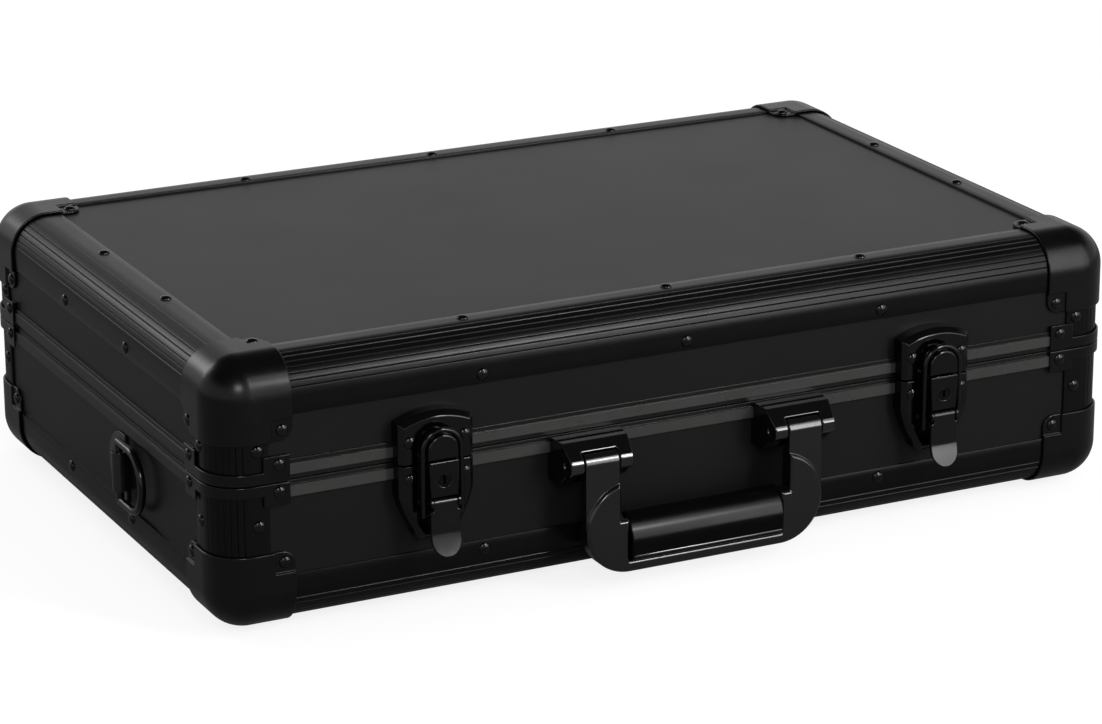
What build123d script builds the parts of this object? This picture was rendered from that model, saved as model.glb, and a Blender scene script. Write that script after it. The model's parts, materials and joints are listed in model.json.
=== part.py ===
# Flight case for a DJ controller: a shallow base and a hinged lid of laminated board,
# held in ribbed aluminium edge profiles with ball corners, closed by two locking
# draw latches, carried by a drop handle and a strap ring at each end.
# Millimetres, +Z up. The case is drawn about its own middle, front towards -Y,
# and is moved at the end so that the origin is the middle of its footprint.
import math
import os

from build123d import *

# Case body, measured over the profiles
body_length = 530.0
body_depth = 340.0
base_height = 79.0
lid_height = 63.0
foot_height = 5.0
parting_gap = 0.6

# Board panels and foam
panel_thickness = 6.5
foam_floor_thickness = 8.0
foam_lid_thickness = 10.0
foam_lining_thickness = 6.0
foam_clearance = 0.4

# Edge profile: two flanges, a ribbed round back and channels for the panels
edge_radius = 20.0
flange_reach = 28.5
flange_thickness = 1.2
channel_clearance = 0.2
rib_groove_radius = 0.5
rib_angles = [15, 25, 35, 45, 55, 65, 75]
profile_end_gap = 0.5
post_corner_gap = 1.0

# Closure rails along the parting line
rail_band_proud = 0.5
rail_lip_recess = 0.6
rail_web = 1.5
base_lip_height = 2.4
base_band_height = 6.2
lid_lip_height = 2.6
lid_band_height = 5.6
lid_edge_height = 2.5
tongue_height = 4.0
tongue_thickness = 2.0
tongue_inset = 2.5
groove_side_clearance = 1.0
groove_depth = 5.0

# Ball corners
cap_reach = 41.5
cap_rise = 41.5
cap_sheet = 1.5
cap_clearance = 0.15
cap_tab_radius = 7.0
cap_tab_height = 0.4

# Corner brackets at the parting line
bracket_reach = 39.3
bracket_tab_width = 14.3
bracket_band_height = 6.0
bracket_sheet = 1.0
bracket_clearance = 0.1
lid_bracket_height = 14.0
base_bracket_height = 12.0
bracket_tab_radius = 2.0

# Rivets
rivet_head_radius = 3.3
rivet_head_height = 1.5
rivet_shank_radius = 1.6
rivet_hole_clearance = 0.05
flange_rivet_inset = 23.5
long_rivet_spacing = 118.0
short_rivet_offset = 46.0
cap_rivet_inset = 35.8
post_rivet_inset = 22.5
lid_post_rivet_drop = 45.5
base_post_rivet_drop = 85.4
bracket_rivet_inset = 33.4
lid_bracket_rivet_rise = 9.6
base_bracket_rivet_drop = 5.0

# Rubber feet
foot_radius = 10.0
foot_taper = 1.2
foot_x = 200.0
foot_y = 110.0
foot_bore_radius = 4.5
foot_bore_depth = 3.0
foot_screw_radius = 1.6
foot_screw_head_radius = 3.4
foot_screw_head_height = 1.8
foot_screw_length = 8.0

# Draw latches
latch_x = 148.0
latch_width = 42.0
latch_plate_out = 9.3
latch_sheet = 1.4
latch_bevel = 2.8
latch_seam_gap = 0.4
catch_side_height = 22.0
catch_top_height = 27.0
plate_shoulder_drop = 17.0
plate_bottom_drop = 41.5
plate_bottom_width = 25.0
plate_bottom_radius = 5.0
latch_rivet_spacing = 30.5
catch_rivet_rise = 12.5
plate_rivet_drop = 7.5
strike_width = 17.0
strike_out = 17.0
strike_edge = 1.2
strike_gap_to_loop = 0.3
strike_foot_rise = 3.4
lock_width = 16.8
lock_out = 17.5
lock_top_rise = 2.7
lock_bottom_drop = 16.5
lock_clearance = 0.4
lock_edge = 0.8
lock_barrel_radius = 3.5
lock_barrel_drop = 7.5
lock_barrel_length = 6.5
lock_barrel_recess = 0.3
barrel_clearance = 0.05
keyway_width = 1.2
keyway_length = 4.4
keyway_depth = 2.5
ear_thickness = 1.6
ear_radius = 2.9
lever_pivot_out = 16.6
lever_pivot_drop = 19.2
lever_knuckle_radius = 2.3
lever_pin_radius = 1.2
lever_side_gap = 0.15
lever_width = 16.4
lever_front_out = 18.4
lever_back_out = 12.6
lever_tongue_thickness = 2.0
lever_body_top_drop = 23.4
lever_body_bottom_drop = 29.8
lever_kink_drop = 34.5
lever_tip_drop = 47.4
lever_tip_out = 20.8
loop_wire_radius = 1.4
loop_peg_radius = 1.1
loop_width = 21.4
loop_pivot_out = 14.4
loop_pivot_drop = 26.0
loop_arch_rise = 18.6
loop_peg_depth = 2.4

# Drop handle
handle_mount_x = 60.1
handle_mount_width = 35.8
mount_root_width = 41.4
handle_pivot_out = 16.0
handle_pivot_drop = 12.3
handle_knuckle_radius = 5.8
handle_pin_radius = 2.0
handle_fit = 0.05
handle_side_gap = 0.6
handle_swing_gap = 1.0
handle_arm_width = 19.5
handle_arm_thickness = 7.0
handle_arm_front_out = 21.6
mount_top_drop = 0.4
mount_crease_out = 12.0
mount_crease_drop = 1.2
mount_foot_drop = 24.0
mount_under_out = 9.0
mount_rivet_drop = 16.0
mount_rivet_grip = 6.0
mount_rivet_spacing = 25.0
frame_corner_radius = 25.0
frame_corner_drop = 48.6
frame_front_out = 23.6
frame_back_out = 14.0
frame_edge = 1.2
hand_opening_drop = 44.5
grip_width = 90.0
grip_top_drop = 42.0
grip_bottom_drop = 67.0
grip_front_out = 26.5
grip_back_out = 9.0
grip_brow_out = 23.3
grip_brow_drop = 48.2
grip_belly_drop = 59.0
grip_lip_out = 26.0
grip_edge = 1.2
grip_fit = 0.2

# Strap rings on the ends
ring_wire_radius = 2.2
ring_plate_margin = 0.3
ring_length = 33.0
ring_bar_y = -41.0
ring_bar_out = 4.0
ring_fit = 0.08
ring_knuckle_radius = 4.0
ring_knuckle_length = 22.0
strap_plate_clearance = 1.8
strap_plate_length = 25.0
strap_plate_sheet = 1.5
strap_rivet_inset = 14.0

# Back hinges
hinge_x = 150.0
hinge_width = 44.0
hinge_axis_out = 4.0
hinge_knuckle_radius = 3.2
hinge_pin_radius = 1.5
hinge_fit = 0.05
hinge_leaf_thickness = 1.8
hinge_leaf_out = 0.6
hinge_leaf_height = 31.0
hinge_middle_knuckle = 16.0
hinge_knuckle_gap = 0.3
hinge_leaf_gap = 1.0
hinge_rivet_spacing = 26.0
hinge_rivet_height = 21.0

# Levels and places worked out from the sizes above
z_bottom = foot_height
z_part = z_bottom + base_height
z_top = z_part + lid_height
panel_out = -flange_thickness
panel_in = flange_thickness + panel_thickness
profile_depth = panel_in + flange_thickness
panel_edge = edge_radius + channel_clearance
profile_end = flange_reach + profile_end_gap
post_end = edge_radius + post_corner_gap
base_rail_height = base_lip_height + base_band_height
lid_rail_height = lid_lip_height + lid_band_height + lid_edge_height
half_length = body_length / 2
half_depth = body_depth / 2
half_gap = parting_gap / 2
hole_radius = rivet_shank_radius + rivet_hole_clearance
strap_top = z_part - half_gap - base_rail_height - strap_plate_clearance
strap_bottom = z_bottom + flange_reach + strap_plate_clearance
strap_plate_width = strap_top - strap_bottom
strap_z = (strap_top + strap_bottom) / 2
ring_width = strap_plate_width - 2 * (ring_wire_radius + ring_plate_margin)
front_reach = grip_front_out
back_reach = hinge_axis_out + hinge_knuckle_radius
body_shift_y = (front_reach - back_reach) / 2
sides = (-1, 1)
corners = [(sx, sy) for sx in sides for sy in sides]
side_names = {-1: "left", 1: "right"}
end_names = {-1: "front", 1: "back"}


def block(x0, x1, y0, y1, z0, z1):
    box = Box(x1 - x0, y1 - y0, z1 - z0, align=(Align.MIN, Align.MIN, Align.MIN))
    return Pos(x0, y0, z0) * box


def rect(u0, u1, v0, v1):
    return Pos(u0, v0) * Rectangle(u1 - u0, v1 - v0, align=(Align.MIN, Align.MIN))


def cross_x(x, radius, length, y, z):
    return Pos(x, y, z) * Rot(0, 90, 0) * Cylinder(radius, length)


def one_solid(shape):
    return shape.solids()[0] if len(shape.solids()) == 1 else shape


# A section is drawn with u measured inwards from one face and v from the other,
# and is run along the edge where the two faces meet.
def run_section(section, middle, u, v, length):
    u, v = Vector(*u), Vector(*v)
    along = u.cross(v)
    start = Vector(*middle) - along * (length / 2)
    plane = Plane(origin=start, x_dir=u, z_dir=along)
    return one_solid(extrude(plane * section, amount=length))


def edge_section():
    section = rect(0, flange_reach, 0, flange_reach)
    centre = Pos(edge_radius, edge_radius)
    section -= rect(0, edge_radius, 0, edge_radius) - centre * Circle(edge_radius)
    section -= rect(profile_depth, flange_reach, profile_depth, flange_reach)
    section -= rect(edge_radius, flange_reach, flange_thickness, panel_in)
    section -= rect(flange_thickness, panel_in, edge_radius, flange_reach)
    for angle in rib_angles:
        turn = math.radians(180 + angle)
        u = edge_radius * (1 + math.cos(turn))
        v = edge_radius * (1 + math.sin(turn))
        section -= Pos(u, v) * Circle(rib_groove_radius)
    return section


# Rail sections have u inwards from the face and v away from the parting line.
def base_rail_section():
    top = base_rail_height
    section = rect(rail_lip_recess, profile_depth, 0, rail_web)
    section += rect(rail_lip_recess, flange_thickness, 0, base_lip_height)
    section += rect(-rail_band_proud, flange_thickness, base_lip_height, top)
    section += rect(panel_in, profile_depth, 0, top)
    tongue_end = tongue_inset + tongue_thickness
    section += rect(tongue_inset, tongue_end, -tongue_height, rail_web)
    return section


def lid_rail_section():
    groove_0 = tongue_inset - groove_side_clearance
    groove_1 = tongue_inset + tongue_thickness + groove_side_clearance
    web_top = groove_depth + rail_web
    band_top = lid_lip_height + lid_band_height
    section = rect(rail_lip_recess, profile_depth, 0, web_top)
    section += rect(-rail_band_proud, flange_thickness, lid_lip_height, band_top)
    section += rect(0, flange_thickness, band_top, lid_rail_height)
    section += rect(panel_in, profile_depth, 0, lid_rail_height)
    section -= rect(groove_0, groove_1, 0, groove_depth)
    return section


# Rivets, each a point on the outer face, a direction outwards and a shank length
class Rivets:
    def __init__(self):
        self.places = []

    def add(self, point, outwards, length):
        self.places.append((Vector(*point), Vector(*outwards), length))

    def solids(self):
        sag, half = rivet_head_height, rivet_head_radius
        ball = (half * half + sag * sag) / (2 * sag)
        head = Pos(0, 0, sag - ball) * Sphere(ball)
        head &= Pos(0, 0, sag / 2) * Box(4 * half, 4 * half, sag)
        made = []
        for point, outwards, length in self.places:
            shank = Pos(0, 0, -length / 2) * Cylinder(rivet_shank_radius, length)
            place = Location(Plane(origin=point, z_dir=outwards))
            made.append(one_solid(place * (head + shank)))
        return made

    def drill(self, shape):
        box = shape.bounding_box()
        reach = 2 * rivet_shank_radius
        low = box.min - Vector(reach, reach, reach)
        high = box.max + Vector(reach, reach, reach)
        cutters = []
        for point, outwards, length in self.places:
            end = point - outwards * length
            spans = zip(tuple(low), tuple(high), tuple(point), tuple(end))
            if all(max(a, b) > lo and min(a, b) < hi for lo, hi, a, b in spans):
                drill = Pos(0, 0, -length / 2) * Cylinder(hole_radius, length + 4)
                cutters.append(Location(Plane(origin=point, z_dir=outwards)) * drill)
        return one_solid(shape - cutters) if cutters else shape


# Walls as (name, point on the face, inward direction, direction along, half run)
def faces():
    return [
        ("front", (0, -half_depth), (0, 1), half_length),
        ("back", (0, half_depth), (0, -1), half_length),
        ("left", (-half_length, 0), (1, 0), half_depth),
        ("right", (half_length, 0), (-1, 0), half_depth),
    ]


# A box on a wall: s along the wall, outwards from its face, and height
def on_wall(point, inward, s0, s1, out0, out1, z0, z1):
    px, py = point
    ix, iy = inward
    xs = sorted((px - ix * out0 + abs(iy) * s0, px - ix * out1 + abs(iy) * s1))
    ys = sorted((py - iy * out0 + abs(ix) * s0, py - iy * out1 + abs(ix) * s1))
    return block(xs[0], xs[1], ys[0], ys[1], z0, z1)


def wall_rivet(rivets, point, inward, s, out, z, length):
    px, py = point
    ix, iy = inward
    place = (px - ix * out + abs(iy) * s, py - iy * out + abs(ix) * s, z)
    rivets.add(place, (-ix, -iy, 0), length)


def half_rivets(is_lid):
    rivets = Rivets()
    z_face = z_top if is_lid else z_bottom
    up = 1 if is_lid else -1
    drop = (lambda d: z_top - d)
    flange_z = z_face - up * flange_rivet_inset
    cap_z = z_face - up * cap_rivet_inset
    post_z = drop(lid_post_rivet_drop if is_lid else base_post_rivet_drop)
    for name, point, inward, half in faces():
        long_side = name in ("front", "back")
        spacing = long_rivet_spacing if long_side else short_rivet_offset
        steps = (-1, 0, 1) if long_side else (-1, 1)
        for step in steps:
            s = step * spacing
            wall_rivet(rivets, point, inward, s, 0, flange_z, profile_depth)
            wall_rivet(rivets, point, inward, s, -flange_rivet_inset, z_face, 0)
            flat = rivets.places.pop()[0]
            rivets.add(tuple(flat), (0, 0, up), profile_depth)
        for side in sides:
            s = side * (half - cap_rivet_inset)
            length = cap_tab_height + panel_in
            wall_rivet(rivets, point, inward, s, cap_tab_height, cap_z, length)
            s = side * (half - post_rivet_inset)
            wall_rivet(rivets, point, inward, s, 0, post_z, profile_depth)
            s = side * (half - bracket_rivet_inset)
            out = rail_band_proud + bracket_clearance + bracket_sheet
            rise = lid_bracket_rivet_rise if is_lid else -base_bracket_rivet_drop
            z = z_part + rise
            wall_rivet(rivets, point, inward, s, out, z, out + profile_depth)
    for sx, sy in corners:
        x = sx * (half_length - cap_rivet_inset)
        y = sy * (half_depth - cap_rivet_inset)
        rivets.add((x, y, z_face + up * cap_tab_height), (0, 0, up), cap_tab_height + panel_in)
    return rivets


def wall_panels(is_lid):
    rail = groove_depth + rail_web if is_lid else rail_web
    near = half_gap + rail + channel_clearance
    z0, z1 = (z_part + near, z_top - panel_edge) if is_lid else (z_bottom + panel_edge, z_part - near)
    made = {}
    for name, point, inward, half in faces():
        s = half - panel_edge
        made[name] = on_wall(point, inward, -s, s, -panel_in, panel_out, z0, z1)
    return made


def flat_panel(is_lid):
    x, y = half_length - panel_edge, half_depth - panel_edge
    if is_lid:
        return block(-x, x, -y, y, z_top - panel_in, z_top + panel_out)
    return block(-x, x, -y, y, z_bottom - panel_out, z_bottom + panel_in)


def edge_profiles(is_lid):
    z, up = (z_top, -1) if is_lid else (z_bottom, 1)
    section = edge_section()
    made = {}
    for name, (px, py), (ix, iy), half in faces():
        length = 2 * (half - profile_end)
        made[name] = run_section(section, (px, py, z), (ix, iy, 0), (0, 0, up), length)
    return made


def rails(is_lid):
    section = lid_rail_section() if is_lid else base_rail_section()
    z, up = (z_part + half_gap, 1) if is_lid else (z_part - half_gap, -1)
    made = {}
    for name, (px, py), (ix, iy), half in faces():
        length = 2 * (half - profile_end)
        made[name] = run_section(section, (px, py, z), (ix, iy, 0), (0, 0, up), length)
    return made


def corner_posts(is_lid):
    low, high = (z_part + half_gap, z_top - post_end) if is_lid else (z_bottom + post_end, z_part - half_gap)
    section = edge_section()
    made = []
    for sx, sy in corners:
        middle = (sx * half_length, sy * half_depth, (low + high) / 2)
        made.append(run_section(section, middle, (-sx, 0, 0), (0, -sy, 0), high - low))
    return made


def rounded_case(grow):
    body = Box(body_length + 2 * grow, body_depth + 2 * grow, z_top - z_bottom + 2 * grow)
    body = fillet(body.edges(), edge_radius + grow)
    return Pos(0, 0, (z_bottom + z_top) / 2) * body


# One ball corner, drawn at the right back corner of the top and mirrored to the others
def corner_cap():
    shell = rounded_case(cap_clearance + cap_sheet) - rounded_case(cap_clearance)
    far = 3 * cap_sheet
    hx, hy, hz = half_length, half_depth, z_top
    cap = shell & block(hx - cap_reach, hx + far, hy - cap_reach, hy + far, hz - cap_rise, hz + far)
    arm = flange_reach + cap_sheet + cap_clearance
    wall = flange_reach + cap_clearance
    low, high = panel_out, cap_tab_height
    cut = far + edge_radius
    x_tab = (hx - cap_reach, hx - arm)
    y_tab = (hy - cap_reach, hy - arm)
    z_tab = (hz - cap_rise, hz - arm)
    cap -= block(*x_tab, *y_tab, hz - cut, hz + far)
    cap -= block(*x_tab, hy - cut, hy + far, *z_tab)
    cap -= block(hx - cut, hx + far, *y_tab, *z_tab)
    x_pad = (hx - cap_reach, hx - wall)
    y_pad = (hy - cap_reach, hy - wall)
    z_pad = (hz - cap_rise, hz - wall)
    flat = block(*x_pad, *y_pad, hz + low, hz + high)
    back = block(*x_pad, hy + low, hy + high, *z_pad)
    side = block(hx + low, hx + high, *y_pad, *z_pad)
    flat = fillet(flat.edges().filter_by(Axis.Z).sort_by(lambda e: e.center().X + e.center().Y)[0], cap_tab_radius)
    back = fillet(back.edges().filter_by(Axis.Y).sort_by(lambda e: e.center().X + e.center().Z)[0], cap_tab_radius)
    side = fillet(side.edges().filter_by(Axis.X).sort_by(lambda e: e.center().Y + e.center().Z)[0], cap_tab_radius)
    top = cap_clearance + cap_sheet
    for pad, walls in (
        (flat, [block(hx - arm, hx - wall, hy - cap_reach, hy - wall, hz + low, hz + top),
                block(hx - cap_reach, hx - wall, hy - arm, hy - wall, hz + low, hz + top)]),
        (back, [block(hx - arm, hx - wall, hy + low, hy + top, hz - cap_rise, hz - wall),
                block(hx - cap_reach, hx - wall, hy + low, hy + top, hz - arm, hz - wall)]),
        (side, [block(hx + low, hx + top, hy - arm, hy - wall, hz - cap_rise, hz - wall),
                block(hx + low, hx + top, hy - cap_reach, hy - wall, hz - arm, hz - wall)]),
    ):
        cap = cap + pad + walls
    return one_solid(cap)


def corner_caps():
    cap = corner_cap()
    middle = (z_bottom + z_top) / 2
    lower = cap.mirror(Plane.XY.offset(middle))
    made = {}
    for name, solid in (("lid", cap), ("base", lower)):
        for sx, sy in corners:
            placed = solid if sx > 0 else solid.mirror(Plane.YZ)
            placed = placed if sy > 0 else placed.mirror(Plane.XZ)
            made[f"{name}_corner_{end_names[sy]}_{side_names[sx]}"] = placed
    return made


# Bent brackets that wrap the corners just above and below the parting line
def corner_brackets(is_lid):
    inner = rail_band_proud + bracket_clearance
    outer = inner + bracket_sheet
    height = lid_bracket_height if is_lid else base_bracket_height
    up = 1 if is_lid else -1
    start = z_part + up * half_gap

    def ring(grow, z0, z1):
        face = RectangleRounded(body_length + 2 * grow, body_depth + 2 * grow, edge_radius + grow)
        return Pos(0, 0, z0) * extrude(face, amount=z1 - z0)

    z0, z1 = sorted((start, start + up * height))
    wrap = ring(outer, z0, z1) - ring(inner, z0, z1)
    band_0, band_1 = sorted((start + up * bracket_band_height, start + up * height))
    beyond = outer + 1
    cut = bracket_reach - bracket_tab_width
    hx, hy = half_length, half_depth
    wrap &= block(hx - bracket_reach, hx + beyond, hy - bracket_reach, hy + beyond, z0, z1)
    wrap -= block(hx - cut, hx + beyond, hy - cut, hy + beyond, band_0, band_1)
    if is_lid:
        seat = z_part + half_gap + lid_rail_height + bracket_clearance
        high = z1
        tab_0, tab_1 = bracket_reach, cut
        wrap += block(hx - tab_0, hx - flange_reach - bracket_clearance, hy + panel_out, hy + outer, seat, high)
        wrap += block(hx + panel_out, hx + outer, hy - tab_0, hy - flange_reach - bracket_clearance, seat, high)
        wrap = one_solid(wrap)
    made = []
    for sx, sy in corners:
        placed = wrap if sx > 0 else wrap.mirror(Plane.YZ)
        made.append(one_solid(placed if sy > 0 else placed.mirror(Plane.XZ)))
    return made


def feet():
    made, screws = [], []
    seat = z_bottom + flange_thickness
    for sx, sy in corners:
        place = Pos(sx * foot_x, sy * foot_y, 0)
        foot = Cone(foot_radius - foot_taper, foot_radius, seat, align=(Align.CENTER, Align.CENTER, Align.MIN))
        foot -= Cylinder(foot_bore_radius, foot_bore_depth, align=(Align.CENTER, Align.CENTER, Align.MIN))
        shank = foot_screw_radius + rivet_hole_clearance
        foot -= Cylinder(shank, seat, align=(Align.CENTER, Align.CENTER, Align.MIN))
        head = Cylinder(foot_screw_head_radius, foot_screw_head_height, align=(Align.CENTER, Align.CENTER, Align.MAX))
        stem = Cylinder(foot_screw_radius, foot_screw_length, align=(Align.CENTER, Align.CENTER, Align.MIN))
        screw = Pos(0, 0, foot_bore_depth) * (head + stem)
        made.append(place * foot)
        screws.append(one_solid(place * screw))
    return made, screws


def foot_holes(panel):
    radius = foot_screw_radius + rivet_hole_clearance
    holes = [Pos(sx * foot_x, sy * foot_y, z_bottom) * Cylinder(radius, 4 * panel_thickness) for sx, sy in corners]
    return one_solid(panel - holes)


def foam_set(is_lid):
    inset = profile_depth + foam_clearance
    hx, hy = half_length - inset, half_depth - inset
    if is_lid:
        high = z_top - inset
        low = high - foam_lid_thickness
        strip_0, strip_1 = z_part + half_gap, low - foam_clearance
    else:
        low = z_bottom + inset
        high = low + foam_floor_thickness
        strip_0, strip_1 = high + foam_clearance, z_part - half_gap
    pad = block(-hx, hx, -hy, hy, low, high)
    lining = []
    t = foam_lining_thickness
    for s in sides:
        y0, y1 = sorted((s * hy, s * (hy - t)))
        lining.append(block(-hx, hx, y0, y1, strip_0, strip_1))
        x0, x1 = sorted((s * hx, s * (hx - t)))
        inner = hy - t - foam_clearance
        lining.append(block(x0, x1, -inner, inner, strip_0, strip_1))
    return pad, lining


# Front hardware is drawn about x = 0 in (x, height) and run outwards from the wall
def front_plate(outline, out0, out1):
    plane = Plane(origin=(0, -half_depth - out0, 0), x_dir=(1, 0, 0), z_dir=(0, -1, 0))
    return one_solid(extrude(plane * outline, amount=out1 - out0))


def catch_outline(shrink):
    half = latch_width / 2 - shrink
    foot = z_part + latch_seam_gap
    side = z_part + catch_side_height - shrink
    peak = z_part + catch_top_height - shrink
    lines = [
        Line((-half, foot), (half, foot)),
        Line((half, foot), (half, side)),
        ThreePointArc((half, side), (0, peak), (-half, side)),
        Line((-half, side), (-half, foot)),
    ]
    return make_face(lines)


def plate_outline(shrink):
    half = latch_width / 2 - shrink
    foot_half = plate_bottom_width / 2 - shrink
    top = z_part - latch_seam_gap
    shoulder = z_part - plate_shoulder_drop
    foot = z_part - plate_bottom_drop + shrink
    r = plate_bottom_radius
    slope = Vector(half - foot_half, shoulder - foot - r)
    bulge = Vector((half + foot_half) / 2, (shoulder + foot + r) / 2)
    bulge += Vector(slope.Y, -slope.X).normalized() * 0.8
    lines = [
        Line((-half, top), (-half, shoulder)),
        ThreePointArc((-half, shoulder), (-bulge.X, bulge.Y), (-foot_half, foot + r)),
        ThreePointArc((-foot_half, foot + r), (-foot_half + r * 0.3, foot + r * 0.3), (-foot_half + r, foot)),
        Line((-foot_half + r, foot), (foot_half - r, foot)),
        ThreePointArc((foot_half - r, foot), (foot_half - r * 0.3, foot + r * 0.3), (foot_half, foot + r)),
        ThreePointArc((foot_half, foot + r), (bulge.X, bulge.Y), (half, shoulder)),
        Line((half, shoulder), (half, top)),
        Line((half, top), (-half, top)),
    ]
    return make_face(lines)


def rail_notch(is_lid):
    clear = rail_band_proud + bracket_clearance
    far = latch_width
    if is_lid:
        z0, z1 = z_part - 1, z_part + half_gap + lid_rail_height + bracket_clearance
    else:
        z0, z1 = z_part - half_gap - base_rail_height - bracket_clearance, z_part + 1
    return block(-far, far, -half_depth - clear, -half_depth + panel_in, z0, z1)


def bevelled(outline, seam_z):
    body = front_plate(outline, panel_out, latch_plate_out)
    front = body.faces().sort_by(Axis.Y)[0]
    rim = [e for e in front.edges() if abs(e.center().Z - seam_z) > 0.01]
    return chamfer(rim, latch_bevel)


def catch_plate():
    body = bevelled(catch_outline(0), z_part + latch_seam_gap)
    hollow = front_plate(catch_outline(latch_sheet + latch_bevel / 2), panel_out - 1, latch_plate_out - latch_sheet)
    hollow -= block(-latch_width, latch_width, -body_depth, body_depth, 0, z_part + latch_seam_gap + latch_sheet)
    body = body - hollow - rail_notch(True)
    half = strike_width / 2
    top = z_part + loop_arch_rise - loop_wire_radius - strike_gap_to_loop
    arch = top - half
    foot = z_part + strike_foot_rise
    outline = rect(-half, half, foot, arch) + Pos(0, arch) * Circle(half)
    outline &= rect(-half, half, foot, top)
    strike = front_plate(outline, latch_plate_out - latch_sheet / 2, strike_out)
    crown = strike.faces().sort_by(Axis.Y)[0]
    strike = fillet(crown.edges(), strike_edge)
    return one_solid(body + strike)


def latch_plate():
    seam = z_part - latch_seam_gap
    body = bevelled(plate_outline(0), seam)
    hollow = front_plate(plate_outline(latch_sheet + latch_bevel / 2), panel_out - 1, latch_plate_out - latch_sheet)
    hollow -= block(-latch_width, latch_width, -body_depth, body_depth, seam - latch_sheet, z_top)
    body = body - hollow - rail_notch(False)
    half = lock_width / 2
    low = z_part - lock_bottom_drop
    y_front = -half_depth - lock_out
    y_seat = -half_depth - latch_plate_out
    lock = block(-half, half, y_front, y_seat - lock_clearance, low, z_part + lock_top_rise)
    lock = fillet(lock.faces().sort_by(Axis.Y)[0].edges(), lock_edge)
    lock += block(-half, half, y_seat - 2 * lock_clearance, y_seat + latch_sheet / 2, low, seam)
    body = one_solid(body + lock)
    pivot_y = -half_depth - lever_pivot_out
    pivot_z = z_part - lever_pivot_drop
    for side in sides:
        x = side * (half - ear_thickness / 2)
        x0, x1 = x - ear_thickness / 2, x + ear_thickness / 2
        ear = block(x0, x1, pivot_y, y_seat + latch_sheet / 2, pivot_z - ear_radius, low + 1)
        ear += block(x0, x1, y_front + 2 * lock_edge, pivot_y + 1, pivot_z, low + 1)
        ear += cross_x(x, ear_radius, ear_thickness, pivot_y, pivot_z)
        body += ear
    body -= cross_x(0, lever_pin_radius + rivet_hole_clearance, lock_width + 2, pivot_y, pivot_z)
    bore = Rot(90, 0, 0) * Cylinder(lock_barrel_radius, lock_barrel_length + 1, align=(Align.CENTER, Align.CENTER, Align.MIN))
    body -= Pos(0, y_front + lock_barrel_length + lock_barrel_recess, z_part - lock_barrel_drop) * bore
    return one_solid(body)


def lock_barrel():
    radius = lock_barrel_radius - barrel_clearance
    barrel = Rot(90, 0, 0) * Cylinder(radius, lock_barrel_length, align=(Align.CENTER, Align.CENTER, Align.MIN))
    front = -lock_barrel_length
    barrel -= block(-keyway_width / 2, keyway_width / 2, front, front + keyway_depth, -keyway_length / 2, keyway_length / 2)
    back = -half_depth - lock_out + lock_barrel_length + lock_barrel_recess
    return one_solid(Pos(0, back, z_part - lock_barrel_drop) * barrel)


def latch_lever():
    y = lambda out: -half_depth - out
    z = lambda drop: z_part - drop
    tongue = lever_tongue_thickness
    neck_back = lever_pivot_out - lever_knuckle_radius
    side = Polyline(
        (y(lever_front_out), z(lever_pivot_drop)),
        (y(lever_front_out), z(lever_kink_drop)),
        (y(lever_tip_out), z(lever_tip_drop)),
        (y(lever_tip_out - tongue), z(lever_tip_drop)),
        (y(lever_front_out - tongue), z(lever_kink_drop)),
        (y(lever_back_out), z(lever_body_bottom_drop)),
        (y(lever_back_out), z(lever_body_top_drop)),
        (y(neck_back), z(lever_body_top_drop)),
        (y(neck_back), z(lever_pivot_drop)),
        close=True,
    )
    half = lever_width / 2
    plane = Plane(origin=(-half, 0, 0), x_dir=(0, 1, 0), z_dir=(1, 0, 0))
    body = extrude(plane * make_face(side), amount=lever_width)
    neck_half = lock_width / 2 - ear_thickness - lever_side_gap
    tip = z(lever_tip_drop) + half
    outline = rect(-half, half, tip, z(lever_body_top_drop)) + Pos(0, tip) * Circle(half)
    outline += rect(-neck_half, neck_half, z(lever_body_top_drop), z(0))
    body &= front_plate(outline, 0, lever_tip_out + 5)
    knuckle = cross_x(0, lever_knuckle_radius, 2 * neck_half, y(lever_pivot_out), z(lever_pivot_drop))
    body = body + knuckle
    body -= cross_x(0, lever_pin_radius + handle_fit, lever_width, y(lever_pivot_out), z(lever_pivot_drop))
    for side_sign in sides:
        x = side_sign * half
        body -= cross_x(x, loop_peg_radius + handle_fit, 2 * loop_peg_depth, y(loop_pivot_out), z(loop_pivot_drop))
    return one_solid(body)


def wire_u(width, straight, radius):
    # Legs up from z = 0 to the arch, in the XZ plane
    half = width / 2
    shape = Pos(0, 0, straight) * Rot(90, 0, 0) * Torus(half, radius)
    shape &= block(-width, width, -2 * radius, 2 * radius, straight, straight + width)
    for side in sides:
        leg = Cylinder(radius, straight, align=(Align.CENTER, Align.CENTER, Align.MIN))
        shape += Pos(side * half, 0, 0) * leg
        shape += Pos(side * half, 0, 0) * Sphere(radius)
    return one_solid(shape)


def latch_loop():
    straight = loop_arch_rise + loop_pivot_drop - loop_width / 2
    shape = wire_u(loop_width, straight, loop_wire_radius)
    reach = (loop_width - lever_width) / 2 + loop_peg_depth - 0.2
    for side in sides:
        x = side * (loop_width / 2 - reach / 2)
        shape += cross_x(x, loop_peg_radius, reach, 0, 0)
    return one_solid(Pos(0, -half_depth - loop_pivot_out, z_part - loop_pivot_drop) * shape)


def latch_pin():
    y, z = -half_depth - lever_pivot_out, z_part - lever_pivot_drop
    return cross_x(0, lever_pin_radius, lock_width, y, z)


def latch_rivets(is_lid):
    rivets = Rivets()
    rise = catch_rivet_rise if is_lid else -plate_rivet_drop
    for side in sides:
        for step in sides:
            x = side * latch_x + step * latch_rivet_spacing / 2
            place = (x, -half_depth - latch_plate_out, z_part + rise)
            rivets.add(place, (0, -1, 0), latch_plate_out + profile_depth)
    return rivets


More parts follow.
